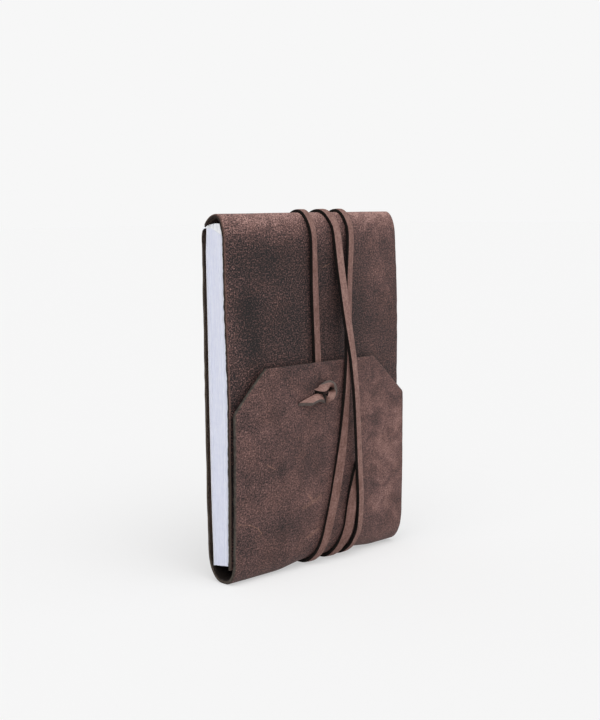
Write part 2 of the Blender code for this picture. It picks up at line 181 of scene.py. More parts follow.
# How far the block lies to the left, and free of the front and the back cover: rows of height, in mm
BLOCK_LOOSE = ((7, -0.1, 0.9, 1.1), (40, -0.3, 0.6, 1.2), (80, -0.5, 0.3, 1.2), (130, -0.6, 0.2, 1.1),
               (150, -0.6, 0.2, 0.9), (157, -0.6, 0.2, 0.3), (160, -0.6, 0.2, 0.3))
FOOT_RISE = 0.0015
# The lining's upper edge: place through the block and height, in millimetres
LINING_TOPS = ((-3, 156.9), (-1.2, 157.5), (1.9, 158.0), (3.6, 157.8), (6.6, 157.4), (8.7, 157.2))
# The corner of the lining that sticks out of the spine: millimetres to the left, back and up
LINING_CORNER = ((52.3, 7.2, 156.2), (52.6, 7.6, 157.3), (53.7, 9.2, 157.3), (54.2, 10.0, 156.2),
                 (54.3, 9.6, 154.9), (53.9, 8.6, 156.0))
CORNER_THICKNESS = 0.0002
# How far each group of pages turns past the group behind it, and the room that a strip leaves for that
FAN_STEP = math.radians(22)
FAN_ROOM = 0.0001
FAN_POINTS = 12

# The leather's colours from dark to light, and places along the hide where its looks change
GRAIN_COLOURS = ((0.0, (20, 17, 18)), (0.25, (58, 45, 44)), (0.5, (93, 68, 65)), (0.75, (124, 92, 87)),
                 (1.0, (168, 134, 126)))
WARM_COLOURS = ((0.0, (48, 34, 32)), (0.5, (108, 77, 70)), (1.0, (172, 132, 120)))
GRAIN_BASE = 0.385
COARSE_TO_FINE = (0.15, 0.33)
# Where the painted shade inside the fold starts, and where it ends, along the hide
FOLD_SHADE_START = (0.295, 0.318)
FOLD_SHADE_END = (0.352, 0.375)
SCRATCH_WAVER = 0.0007
SCRATCH_WAVER_SIZE = 0.0016
SCRATCH_SOFTNESS = 1.6
SPECK_SPACING = 0.0046
SPECKLESS_SHARE = 0.95
# The cut edge's colours from the grain side to the flesh side: low on the front, then along its rim and the
# spine, down the back and up the flap, and where each of the last three starts along the hide. Their darkest stops
# at the flesh side are partly painted shade of the gap by the pages.
EDGE_COLOURS = (
    ((0.0, (80, 63, 57)), (0.2, (70, 62, 55)), (0.8, (62, 56, 50)), (1.0, (36, 32, 29))),
    ((0.0, (116, 88, 80)), (0.24, (102, 78, 71)), (0.38, (48, 40, 36)), (1.0, (28, 24, 22))),
    ((0.0, (62, 50, 45)), (0.25, (56, 48, 42)), (0.6, (90, 79, 70)), (1.0, (24, 19, 18))),
    ((0.0, (106, 84, 77)), (0.2, (80, 76, 71)), (0.8, (68, 64, 59)), (1.0, (44, 40, 37))),
)
EDGE_STARTS = ((0.045, 0.07), (0.172, 0.188), (0.322, 0.345))
FLESH_COLOURS = ((0.35, (44, 35, 31)), (0.55, (70, 56, 49)), (0.75, (96, 78, 68)))
# The thong's colours from dark to light; the near black stop at 0 serves the painted shade of the knot
THONG_COLOURS = ((0.0, (22, 16, 14)), (0.2, (86, 61, 55)), (0.36, (98, 70, 63)), (0.5, (124, 93, 86)),
                 (0.66, (154, 123, 114)))
# The thong's cut sides: their own dark colour and painted shade, darker than the same cut sides in the knot
THONG_CUT_COLOURS = ((0.3, (14, 11, 10)), (0.6, (26, 21, 19)), (0.78, (52, 44, 39)))
KNOT_CUT_COLOURS = ((0.3, (74, 66, 63)), (0.6, (101, 91, 87)), (0.78, (126, 116, 111)))

# The camera and the light
CAMERA_PLACE = (-0.39733, -0.41702, 0.16415)
CAMERA_PAN = math.radians(43.133)
CAMERA_TILT = math.radians(6.874)
CAMERA_ROLL = math.radians(-0.665)
CAMERA_LENS = 63.097
CAMERA_SENSOR = 36.0
AMBIENT = 0.36
BACKGROUND = 0.93
KEY_FROM = (0.55, -0.55, 0.63)
KEY_LEVEL = 0.16
KEY_SPREAD = math.radians(90)
TOP_FROM = (-0.36, -0.43, 0.83)
TOP_LEVEL = 0.66
TOP_SPREAD = math.radians(70)
FLOOR_TONE = (246, 246, 246)
FLOOR_EVEN = 0.5
FLOOR_HALF = 10.0


def smooth_step(value):
    value = np.clip(value, 0, 1)
    return value * value * (3 - 2 * value)


def curve_at(knots, values, place):
    """A smooth curve through the values at the knots."""
    knots = np.asarray(knots, float)
    values = np.asarray(values, float)
    slopes = np.gradient(values, knots)
    place = np.clip(np.asarray(place, float), knots[0], knots[-1])
    index = np.clip(np.searchsorted(knots, place, side="right") - 1, 0, len(knots) - 2)
    step = knots[index + 1] - knots[index]
    t = (place - knots[index]) / step
    start = (1 + 2 * t) * (1 - t) ** 2 * values[index] + t * (1 - t) ** 2 * step * slopes[index]
    end = t * t * (3 - 2 * t) * values[index + 1] + t * t * (t - 1) * step * slopes[index + 1]
    return start + end


def between(pair, u):
    return pair[0] + (pair[1] - pair[0]) * u


def unit(rows):
    return rows / np.linalg.norm(rows, axis=1)[:, None]


def run_along(points):
    """How far along a line each of its points lies."""
    return np.concatenate([[0], np.cumsum(np.linalg.norm(np.diff(points, axis=0), axis=1))])


def clear_of(places, marks):
    """Evenly set places without those that lie close to a mark."""
    step = places[1] - places[0]
    return places[np.min(np.abs(places[:, None] - marks), axis=1) > SLIT_ROOM * step]


def bow(rows, z, u):
    """How far the hide stands out at a height, in metres, between its left end, u = 0, and its right."""
    heights, left, right = np.array(rows, float).T
    return MM * between((curve_at(heights, left, z / MM), curve_at(heights, right, z / MM)), u)


def front_y(z, u):
    return FRONT_Y - bow(FRONT_BOW, z, u)


def back_y(z, u):
    return BACK_Y + bow(BACK_BOW, z, u)


def flap_y(z, u):
    return FLAP_Y - bow(FLAP_BOW, z, u)


def across(x):
    return np.clip((np.asarray(x, float) + HALF_WIDTH) / (2 * HALF_WIDTH), 0, 1)


def arch_angle(z):
    """The angle on the front half of the spine at a height."""
    return math.asin((z - ARCH_Z) / (SPINE_TOP - ARCH_Z))


def arch_point(angle, u):
    """The outer face of the spine, from the front cover, angle 0, over to the back cover, angle pi."""
    front = ARCH_MIDDLE - front_y(ARCH_Z, u)
    back = back_y(ARCH_Z, u) - ARCH_MIDDLE
    y = ARCH_MIDDLE - np.cos(angle) * np.where(np.cos(angle) > 0, front, back)
    return y, ARCH_Z + (SPINE_TOP - ARCH_Z) * np.sin(angle) + 0 * u


def fold_base(u, pressed):
    return between((between(FOLD_BASE, u), SEAT_DEPTH), pressed)


def fold_rise(angle):
    """How far up its height the fold's front half is at an angle, a little squarer than an ellipse."""
    return 1 - np.cos(angle) ** (2 / FOLD_SQUARE)


def fold_angle(rise):
    return np.arccos((1 - rise) ** (FOLD_SQUARE / 2))


def fold_front(angle, u, pressed):
    """The front half of the fold that the book stands on, from its lowest line, angle 0, up to the flap."""
    base = fold_base(u, pressed)
    height = between(FOLD_FRONT_HEIGHT, u)
    centre = between(FOLD_CENTRE, u)
    y = centre - (centre - flap_y(height, u)) * np.sin(angle) ** (2 / FOLD_SQUARE)
    return y, base + (height - base) * fold_rise(angle)


def fold_back(angle, u, pressed):
    """The back half of that fold, from its lowest line, angle 0, up to the back cover."""
    base = fold_base(u, pressed)
    centre = between(FOLD_CENTRE, u)
    y = centre + (back_y(FOLD_BACK_HEIGHT, u) - centre) * np.sin(angle)
    return y, base + (FOLD_BACK_HEIGHT - base) * (1 - np.cos(angle))


def front_at(height):
    """The share of a lap at a height on the front."""
    return FRONT_LOW + (FRONT_HIGH - FRONT_LOW) * (height - LAP_LOW) / (HINGE_Z - LAP_LOW)


def back_at(height):
    return BACK_LOW - (BACK_LOW - BACK_HIGH) * (height - LAP_LOW) / (HINGE_Z - LAP_LOW)


# The thong's route: lap number plus share of the lap, and place along the spine
THONG_ROUTE = [
    (front_at(THONG_START), -0.0020),
    (front_at(0.114), -0.0026),
    (front_at(0.129), -0.0029),
    (front_at(0.144), -0.0028),
    (TOP, -0.0036),
    (back_at(0.080), -0.0030),
    (back_at(0.020), -0.0044),
    (1, -0.0046),
    (1 + front_at(0.0078), -0.0024),
    (1 + front_at(0.012), -0.0008),
    (1 + front_at(0.018), 0.0012),
    (1 + front_at(0.026), 0.0034),
    (1 + front_at(0.035), 0.0057),
    (1 + front_at(0.0435), 0.0075),
    (1 + front_at(0.060), 0.0106),
    (1 + front_at(0.081), 0.0128),
    (1 + front_at(0.106), 0.0152),
    (1 + front_at(0.131), 0.0180),
    (1 + front_at(0.150), 0.0208),
    (1 + TOP, 0.0203),
    (1 + back_at(0.080), 0.0206),
    (1 + back_at(0.020), 0.0184),
    (2, 0.0176),
    (2 + front_at(0.0078), 0.0197),
    (2 + front_at(0.0125), 0.0212),
    (2 + front_at(0.018), 0.0218),
    (2 + front_at(0.025), 0.0213),
    (2 + front_at(0.034), 0.0200),
    (2 + front_at(0.043), 0.0192),
    (2 + front_at(0.060), 0.0180),
    (2 + front_at(0.080), 0.0166),
    (2 + front_at(0.100), 0.0146),
    (2 + front_at(0.117), 0.0129),
    (2 + front_at(0.132), 0.0126),
    (2 + front_at(0.147), 0.0126),
    (2 + TOP, 0.0090),
    (2 + back_at(0.080), 0.0104),
    (2 + back_at(0.020), 0.0094),
    (3, 0.0086),
    (3 + front_at(0.008), 0.0107),
    (3 + front_at(0.011), 0.0121),
    (3 + front_at(0.0155), 0.0140),
    (3 + front_at(0.021), 0.0152),
    (3 + front_at(0.027), 0.0161),
    (3 + front_at(0.0335), 0.0172),
    (3 + front_at(0.0405), 0.0190),
    (3 + front_at(0.0455), 0.0205),
]
# Where the third lap rides over the others: start and end of its rise, start and end of its way down
THONG_CROSSING = (0.014, 0.036, 0.112, 0.150)
CROSSING_LAP = 2

# Along its route: how broad the strap is, in millimetres, how far its face is rolled to the left, in
# degrees, and how much lighter it is
STRAP_SHAPE = (
    (front_at(THONG_START), 3.9, -2, -0.04),
    (front_at(0.128), 3.8, -4, -0.03),
    (front_at(0.146), 3.4, -9, -0.01),
    (TOP, 3.9, 0, 0.02),
    (1, 4.0, 0, -0.04),
    (1 + front_at(0.009), 4.1, 4, -0.05),
    (1 + front_at(0.020), 4.3, 14, -0.05),
    (1 + front_at(0.035), 4.5, 20, -0.06),
    (1 + front_at(0.048), 4.4, 16, -0.06),
    (1 + front_at(0.062), 4.0, 2, -0.06),
    (1 + front_at(0.080), 3.4, -8, -0.05),
    (1 + front_at(0.150), 4.0, -8, 0),
    (1 + TOP, 3.7, 0, 0.02),
    (2, 3.7, 0, 0),
    (2 + front_at(0.010), 3.6, -5, 0),
    (2 + front_at(0.080), 3.5, -9, 0.02),
    (2 + front_at(0.112), 4.3, -3, 0.05),
    (2 + front_at(0.147), 4.5, -2, 0.05),
    (2 + TOP, 4.0, 0, 0.02),
    (3, 4.1, 0, -0.05),
    (3 + front_at(0.008), 4.3, 8, -0.06),
    (3 + front_at(0.013), 4.6, 20, -0.07),
    (3 + front_at(0.024), 4.6, 22, -0.08),
    (3 + front_at(0.031), 4.0, 6, -0.08),
    (3 + front_at(0.036), 3.1, 0, -0.08),
    (3 + front_at(0.0455), 2.4, 0, -0.08),
)


def thong_x(share):
    shares, places = zip(*THONG_ROUTE)
    return curve_at(shares, places, share)


def fold_share(angle, height, front):
    """The share of a lap at an angle from the fold's lowest line: below 0 at the back, above at the front."""
    low_rise = LAP_LOW / np.mean(height)
    low = fold_angle(low_rise) if front else math.acos(1 - low_rise)
    z = height * (fold_rise(angle) if front else 1 - np.cos(angle))
    near = FRONT_LOW * angle / low
    if front:
        return np.where(angle < low, near, front_at(z))
    return np.where(angle < low, -near, back_at(z) - 1)


def pressed_in(angle, u, x, front):
    """How far the fold is pressed in by the thong under it, from 0 to 1."""
    height = between(FOLD_FRONT_HEIGHT, u) if front else FOLD_BACK_HEIGHT + 0 * u
    share = fold_share(angle, height, front)
    away = np.min([np.abs(x - thong_x(lap + share)) for lap in range(1, LAP_COUNT + 1)], axis=0)
    return smooth_step(1 + (THONG_WIDTH / 2 + THONG_CLEARANCE - away) / SEAT_FADE)


def hide_section(q, x):
    """(y, z) of the hide's outer face at q."""
    u = across(x)
    t = q - math.floor(q)
    if q < 1:
        z = COVER_FOOT + (ARCH_Z - COVER_FOOT) * t + 0 * u
        return front_y(z, u), z
    if q < 2:
        return arch_point(math.pi * t, u)
    if q < 3:
        z = ARCH_Z + (FOLD_BACK_HEIGHT - ARCH_Z) * t + 0 * u
        return back_y(z, u), z
    if q < 3.5:
        angle = math.pi * (0.5 - t)
        return fold_back(angle, u, pressed_in(angle, u, x, False))
    if q < 4:
        angle = math.pi * (t - 0.5)
        return fold_front(angle, u, pressed_in(angle, u, x, True))
    low = between(FOLD_FRONT_HEIGHT, u)
    z = low + (FLAP_TOP - low) * min(q - 4, 1)
    return flap_y(z, u), z


def wander(seed, *place):
    return noise.noise(Vector((*place, seed)))


def hide_rows():
    """The values of q of every row of the hide, and how far along the hide each one lies."""
    front = np.linspace(0, 1, round((ARCH_Z - COVER_FOOT) / HIDE_ROW) + 1)
    back = np.linspace(2, 3, round((ARCH_Z - FOLD_BACK_HEIGHT) / HIDE_ROW) + 1)
    flap = np.linspace(4, FLAP_END, round((FLAP_TOP - FOLD_FRONT_HEIGHT[0]) / HIDE_ROW) + 1)
    turns = [np.linspace(1, 2, ARCH_ROWS), np.linspace(3, 4, FOLD_ROWS)]
    low = between(FOLD_FRONT_HEIGHT, across(SLIT_X))
    slit = np.array([SLIT_Z - SLIT_HALF_HEIGHT, SLIT_Z + SLIT_HALF_HEIGHT])
    slit = 4 + (slit - low) / (FLAP_TOP - low)
    seams = [seam + step for seam in (SPINE_SEAM, FOLD_SEAM) for step in (-SEAM_STEP, 0, SEAM_STEP)]
    rows = np.unique(np.round(np.concatenate([front, back, clear_of(flap, slit), *turns, slit, seams]), 6))
    return rows, run_along([hide_section(q, 0.0) for q in rows])


def flap_reach(z, chamfer):
    """How far the flap reaches to one side at a height. Its slanted corner is a little rounded."""
    width, height = chamfer
    slant_low = FLAP_TOP - height
    slope = width / height
    turn = math.atan(slope)
    reach = FLAP_CORNER_RADIUS * math.tan(turn / 2)
    if z < slant_low - reach:
        return HALF_WIDTH
    if z < slant_low + reach * math.cos(turn):
        drop = z - (slant_low - reach)
        return HALF_WIDTH - FLAP_CORNER_RADIUS + math.sqrt(FLAP_CORNER_RADIUS**2 - drop**2)
    top_turn = math.pi / 2 - turn
    top_reach = FLAP_CORNER_RADIUS * math.tan(top_turn / 2)
    straight = HALF_WIDTH - slope * (z - slant_low)
    if z < FLAP_TOP - top_reach * math.sin(top_turn):
        return straight
    centre_x = HALF_WIDTH - width - top_reach
    rise = min(z - (FLAP_TOP - FLAP_CORNER_RADIUS), FLAP_CORNER_RADIUS)
    return centre_x + math.sqrt(FLAP_CORNER_RADIUS**2 - rise**2)


def hide_columns():
    """Places across the hide from -1 to 1, with one on each side of the slit."""
    columns = np.linspace(-1, 1, round(2 * HALF_WIDTH / HIDE_COLUMN) + 1)
    slit = np.array([SLIT_X - SLIT_HALF_WIDTH, SLIT_X + SLIT_HALF_WIDTH]) / (HALF_WIDTH - EDGE_INSET)
    return np.sort(np.concatenate([clear_of(columns, slit), slit]))


def hide_ring(q, s, columns, reach, depth_scale=1.0, push=0.0):
    """One closed ring round the hide at q: its grain face, right cut edge, flesh face and left cut edge."""
    left, right = reach
    flat = np.where(columns < 0, left - EDGE_INSET, right - EDGE_INSET) * columns
    places = [(x, 0.0) for x in flat]
    places += [(right - inset, depth) for inset, depth in EDGE_RING]
    places += [(x, 1.0) for x in reversed(flat)]
    places += [(inset - left, depth) for inset, depth in reversed(EDGE_RING)]
    x, depth = np.array(places).T
    depth = 0.5 + (depth - 0.5) * depth_scale
    y, z = hide_section(q, x)
    before = hide_section(max(q - TANGENT_STEP, 0), x)
    after = hide_section(min(q + TANGENT_STEP, FLAP_END), x)
    tangent = np.subtract(after, before)
    tangent /= np.linalg.norm(tangent, axis=0)
    lift = np.array([wander(UNDULATION_SEED, px / UNDULATION_SIZE, UNDULATION_RATE * q) for px in x])
    rise = UNDULATION * lift - depth * LEATHER
    outer = np.abs(x) > np.where(x < 0, left, right) - EDGE_BAND
    side = np.array([edge_wander(s + push, px, d) for px, d in zip(x, depth)])
    y = y - tangent[1] * rise + push * tangent[0]
    z = z + tangent[0] * rise + push * tangent[1]
    return np.column_stack([x + side * outer, y, z]), x, depth


def edge_wander(s, x, depth):
    """How far the knife and the fibres let a cut edge wander, at a place along it and a depth in it."""
    side = math.copysign(1, x)
    knife = EDGE_WANDER * wander(KNIFE_SEED, s / EDGE_WANDER_SIZE, side)
    fibre = wander(FIBRE_SEED, s / EDGE_FIBRE_SIZE, FIBRE_DEPTH_RATE * depth + FIBRE_SIDE * side)
    return knife + EDGE_FIBRE * depth * fibre


def add_object(name, data):
    obj = bpy.data.objects.new(name, data)
    bpy.context.scene.collection.objects.link(obj)
    return obj


def add_mesh(name, points, faces, materials, face_materials, places, tones=None):
    """A smooth shaded mesh object, with the place on the piece and the tone of each point."""
    mesh = bpy.data.meshes.new(name)
    mesh.from_pydata([tuple(point) for point in points], [], faces)
    for material in materials:
        mesh.materials.append(material)
    mesh.polygons.foreach_set("material_index", face_materials)
    hide = mesh.attributes.new("hide", "FLOAT_VECTOR", "POINT")
    hide.data.foreach_set("vector", np.ravel(places).astype(np.float32))
    if tones is not None:
        tone = mesh.attributes.new("tone", "FLOAT", "POINT")
        tone.data.foreach_set("value", np.asarray(tones, np.float32))
    mesh.update()
    mesh.shade_smooth()
    for polygon in mesh.polygons:
        if len(polygon.vertices) > 4:
            for loop in polygon.loop_indices:
                mesh.edges[mesh.loops[loop].edge_index].use_edge_sharp = True
    return add_object(name, mesh)


def add_plain(name, points, faces, materials, places):
    """A flat shaded mesh object of one material."""
    obj = add_mesh(name, points, faces, materials, [0] * len(faces), places)
    obj.data.shade_flat()
    return obj


def ring_faces(count, size, holes=()):
    """Quads between one closed ring and the next, without the holes, which are given as row and place."""
    faces = []
    for row in range(count - 1):
        for i in range(size):
            j = (i + 1) % size
            if (row, i) not in holes:
                faces.append((row * size + i, row * size + j, (row + 1) * size + j, (row + 1) * size + i))
    return faces


def end_faces(count, size):
    """The two faces that close a stack of rings."""
    return [tuple(reversed(range(size))), tuple(range((count - 1) * size, count * size))]


def shell_faces(count, size, start=0):
    """All faces of a closed stack of rings whose points begin at start."""
    return [tuple(start + i for i in face) for face in ring_faces(count, size) + end_faces(count, size)]


def add_hide(name, first, last, rows, along, materials, free_start=False, free_end=False, slit=False):
    """A piece of the hide between two values of q, as one closed shell."""
    columns = hide_columns()
    picked = [(q, s) for q, s in zip(rows, along) if first - ROW_MATCH <= q <= last + ROW_MATCH]
    plan = [(q, s, 1.0, 0.0) for q, s in picked]
    if free_start:
        plan = [(*picked[0], scale, -push) for push, scale in reversed(END_ROUNDING)] + plan
    if free_end:
        plan += [(*picked[-1], scale, push) for push, scale in END_ROUNDING]
    rings, places = [], []
    for q, s, scale, push in plan:
        height = hide_section(q, 0.0)[1]
        reach = [flap_reach(height, chamfer) if q > 4 else HALF_WIDTH for chamfer in FLAP_CHAMFERS]
        points, x, depth = hide_ring(q, s, columns, reach, scale, push)
        rings.append(points)
        places.append(np.column_stack([x, np.full(len(x), s), depth * LEATHER]))
    size = len(rings[0])
    flat = len(columns) - 1
    edge = len(EDGE_RING) + 1
    kinds = [0] * flat + [1] * edge + [2] * flat + [1] * edge
    holes, walls = slit_faces(np.array(rings), columns) if slit else ((), [])
    faces = ring_faces(len(rings), size, holes)
    closing = walls + end_faces(len(rings), size)
    face_materials = [kinds[face[0] % size] for face in faces] + [1] * len(closing)
    points = np.concatenate(rings)
    places = np.concatenate(places)
    tones = tone_at(places[:, 0], places[:, 1], along[-1])
    return add_mesh(name, points, faces + closing, materials, face_materials, places, tones)


def slit_faces(rings, columns):
    """Where the flap's slit leaves its two faces open, and the four walls between them."""
    size = len(rings[0])
    left = int(np.argmin(np.abs(columns * (HALF_WIDTH - EDGE_INSET) - (SLIT_X - SLIT_HALF_WIDTH))))
    right_inside = 2 * len(columns) + len(EDGE_RING) - 2 - left
    row = int(np.argmin(np.abs(rings[:, left, 2] - (SLIT_Z - SLIT_HALF_HEIGHT))))
    a = row * size + left
    b = row * size + right_inside
    outside = (a, a + 1, a + 1 + size, a + size)
    inside = (b + 1, b, b + size, b + 1 + size)
    sides = ((0, 1), (1, 2), (2, 3), (3, 0))
    walls = [(outside[j], outside[i], inside[i], inside[j]) for i, j in sides]
    return ((row, left), (row, right_inside)), walls


# Darker and lighter places of the hide, some of them painted light and shade, in millimetres: across, height, two
# radii and how much they add
FRONT_PATCHES = (
    (0, 112, 400, 45, -0.175),
    (-26, 118, 30, 34, -0.085),
    (-33, 143, 24, 8, -0.15),
    (-41, 116, 5, 12, -0.18),
    (-37.5, 104, 4, 9, -0.16),
    (-43, 121, 6, 5, -0.07),
    (5, 140, 9, 6, -0.12),
    (-20, 135, 10, 5, -0.05),
    (-43, 132, 6, 3.5, 0.08),
    (-31, 128, 6, 3.5, 0.08),
    (-50, 112, 4, 16, 0.05),
    # Painted light: the cover made lighter towards the right, where the light falls from the right
    (42, 130, 16, 28, 0.17),
    (37, 111, 9, 5, -0.08),
    (27, 116, 5, 10, -0.06),
    # Painted highlight: the top of the spine made lighter where the light from above falls on it
    (0, 165, 300, 11, 0.46),
    (-53, 128, 1.6, 30, 0.10),
    # Painted shade: the lower left end of the front cover, seen only in the gap behind the flap, made dark
    (-52, 40, 9, 34, -0.5),
)
FLAP_PATCHES = (
    (0, 55, 200, 60, 0.02),
    (-25.6, 24.7, 5, 5, -0.13),
    (-2.8, 49, 4, 4, -0.10),
    (34.5, 62, 6, 3, -0.13),
    (33.6, 29.9, 4.5, 4.5, -0.14),
    (28, 21.8, 4, 4, -0.13),
    (47.7, 22.9, 5, 5, -0.12),
    (31.4, 15.4, 5, 5, -0.11),
    (-20.5, 92, 8, 3, -0.11),
    (-8, 33.7, 5, 3.5, 0.11),
    (-6.6, 16.6, 5, 3, 0.10),
    # Painted light: these two rows make the flap lighter towards the right, where the light falls from the right
    (40, 55, 18, 34, 0.23),
    (38, 20, 16, 13, 0.12),
    (-45, 18, 14, 10, -0.06),
    (-36, 58, 16, 16, -0.03),
    # Painted shadow: darker on the flap just up and to the left of the knot
    (-8, 84, 4, 2.5, -0.18),
)
# Scratches, in millimetres: across and height at both ends, width and strength
FRONT_SCRATCHES = ((4, 137.5, 9, 139, 0.25, 0.5), (44, 100, 44.3, 100.2, 0.3, 0.7))
FLAP_SCRATCHES = (
    (-52.3, 28.5, -44.7, 26.9, 0.28, 0.55),
    (-44.7, 26.9, -40.1, 24.5, 0.30, 0.60),
    (-40.1, 24.5, -38.1, 22.0, 0.34, 0.70),
    (-38.1, 22.0, -42.1, 20.1, 0.30, 0.45),
    (-35.1, 52.5, -30.0, 49.5, 0.32, 0.60),
    (-2.4, 32.7, -12.6, 28.9, 0.90, 0.40),
    (-9.5, 34.2, -7.5, 32.6, 0.60, 0.60),
    (-3.3, 17.5, -10.0, 14.9, 0.70, 0.45),
    (23.0, 81.5, 31.2, 85.7, 0.20, 0.35),
    (25.0, 80.0, 30.0, 83.0, 0.16, 0.30),
    (-16.0, 62.5, -16.2, 61.0, 0.22, 0.60),
    (-18.5, 84.5, -18.3, 82.2, 0.18, 0.40),
    (-17.9, 53.8, -17.6, 53.4, 0.26, 0.70),
)


def along_front(height):
    return height - COVER_FOOT / MM


def along_flap(x, height, whole):
    low = between(FOLD_FRONT_HEIGHT, across(x * MM))
    middle = between(FOLD_FRONT_HEIGHT, 0.5)
    share = (height * MM - low) / (FLAP_TOP - low)
    return float(whole - (FLAP_TOP - middle) * (1 - share)) / MM


def tone_at(x, s, whole):
    """What the worn and stained places, and the painted light and shade among them, add to the hide's tone."""
    total = np.zeros(len(x))
    patches = [(px, along_front(height), *rest) for px, height, *rest in FRONT_PATCHES]
    patches += [(px, along_flap(px, height, whole), *rest) for px, height, *rest in FLAP_PATCHES]
    for place_x, place_s, radius_x, radius_s, amount in patches:
        away = ((x / MM - place_x) / radius_x) ** 2 + ((s / MM - place_s) / radius_s) ** 2
        total += amount * np.exp(-away)
    return total


def seat_share(z, height):
    """How far up the fold a height lies, where the thong presses it in."""
    return (z - SEAT_DEPTH) / (height - SEAT_DEPTH)


def lap_seat(share, x):
    """(y, z) of what lies under the thong at a share of a lap."""
    u = across(x)
    lap = math.floor(share)
    part = share - lap
    fold_height = between(FOLD_FRONT_HEIGHT, u)
    if part < FRONT_LOW:
        return fold_front(fold_angle(seat_share(LAP_LOW, fold_height)) * part / FRONT_LOW, u, 1)
    if part < FRONT_HIGH:
        z = LAP_LOW + (HINGE_Z - LAP_LOW) * (part - FRONT_LOW) / (FRONT_HIGH - FRONT_LOW)
        cover = arch_point(arch_angle(z), u)[0] if z > ARCH_Z else front_y(z, u)
        if lap == 0:
            return cover, z
        if z < fold_height:
            return fold_front(fold_angle(seat_share(z, fold_height)), u, 1)
        if z < FLAP_TOP:
            return flap_y(z, u), z
        climb = (z - FLAP_TOP) / (ARCH_Z - FLAP_TOP)
        return min(cover, between((flap_y(FLAP_TOP, u), front_y(ARCH_Z, u)), climb)), z
    if part < BACK_HIGH:
        turn = (part - FRONT_HIGH) / (BACK_HIGH - FRONT_HIGH)
        return arch_point(between((arch_angle(HINGE_Z), math.pi - arch_angle(HINGE_Z)), turn), u)
    if part < BACK_LOW:
        z = LAP_LOW + (HINGE_Z - LAP_LOW) * (BACK_LOW - part) / (BACK_LOW - BACK_HIGH)
        if z > ARCH_Z:
            return arch_point(math.pi - arch_angle(z), u)
        if z > FOLD_BACK_HEIGHT:
            return back_y(z, u), z
        return fold_back(math.acos(1 - seat_share(z, FOLD_BACK_HEIGHT)), u, 1)
    low_angle = math.acos(1 - seat_share(LAP_LOW, FOLD_BACK_HEIGHT))
    return fold_back(low_angle * (1 - part) / (1 - BACK_LOW), u, 1)


def lap_lift(shares):
    """How far the thong is lifted where it rides over the other laps."""
    rise_from, rise_to, fall_from, fall_to = (CROSSING_LAP + front_at(height) for height in THONG_CROSSING)
    up = smooth_step((shares - rise_from) / (rise_to - rise_from))
    down = smooth_step((fall_to - shares) / (fall_to - fall_from))
    return THONG_LAYER * up * down


def even_points(rows, step):
    """Rows at an even distance along a line, whose points are the first three columns."""
    along = run_along(rows[:, :3])
    wanted = np.linspace(0, along[-1], max(round(along[-1] / step), 2) + 1)
    return np.column_stack([np.interp(wanted, along, column) for column in rows.T])


def strap_section():
    """Outline of the strap, across and through, with rounded corners and slightly raised faces."""
    half_width = THONG_WIDTH / 2 - THONG_CORNER
    half_through = THONG_THICKNESS / 2 - THONG_CORNER
    outline = []
    for corner, (side, face) in enumerate(((1, 1), (-1, 1), (-1, -1), (1, -1))):
        for step in range(3):
            angle = math.pi / 2 * (corner + step / 2)
            outline.append((side * half_width + THONG_CORNER * math.cos(angle),
                            face * half_through + THONG_CORNER * math.sin(angle)))
        if side == face:
            outline.append((0.0, face * (THONG_THICKNESS / 2 + THONG_CROWN)))
    return outline


def add_strap(name, centres, directions, materials, breadth, roll, tone, cut_slant=0.0):
    """The strap swept along its centres, its width along the given directions, rolled by the given angles."""
    outline = strap_section()
    size = len(outline)
    tangents = unit(np.gradient(centres, axis=0))
    directions = unit(directions - np.sum(directions * tangents, axis=1)[:, None] * tangents)
    outward = np.cross(directions, tangents)
    along = run_along(centres)
    slants = cut_slant * np.clip(1 - (along[-1] - along) / SLANT_REACH, 0, 1)
    points, places = [], []
    for i, centre in enumerate(centres):
        across_dir = math.cos(roll[i]) * directions[i] + math.sin(roll[i]) * outward[i]
        through_dir = math.cos(roll[i]) * outward[i] - math.sin(roll[i]) * directions[i]
        for a, t in outline:
            a = math.copysign(max(abs(a) + (breadth[i] - THONG_WIDTH) / 2, 0), a) if a else 0.0
            points.append(centre + a * across_dir + t * through_dir + slants[i] * a * tangents[i])
            places.append((a, along[i], t))
    sides = []
    for (a, _), (b, _) in zip(outline, outline[1:] + outline[:1]):
        sides.append(1 if (abs(a) + abs(b)) / 2 > THONG_WIDTH / 2 - CUT_CORNER * THONG_CORNER else 0)
    faces = shell_faces(len(centres), size)
    face_materials = [sides[face[0] % size] for face in faces[:-2]] + [1, 1]
    return add_mesh(name, points, faces, materials, face_materials, places, np.repeat(tone, size))


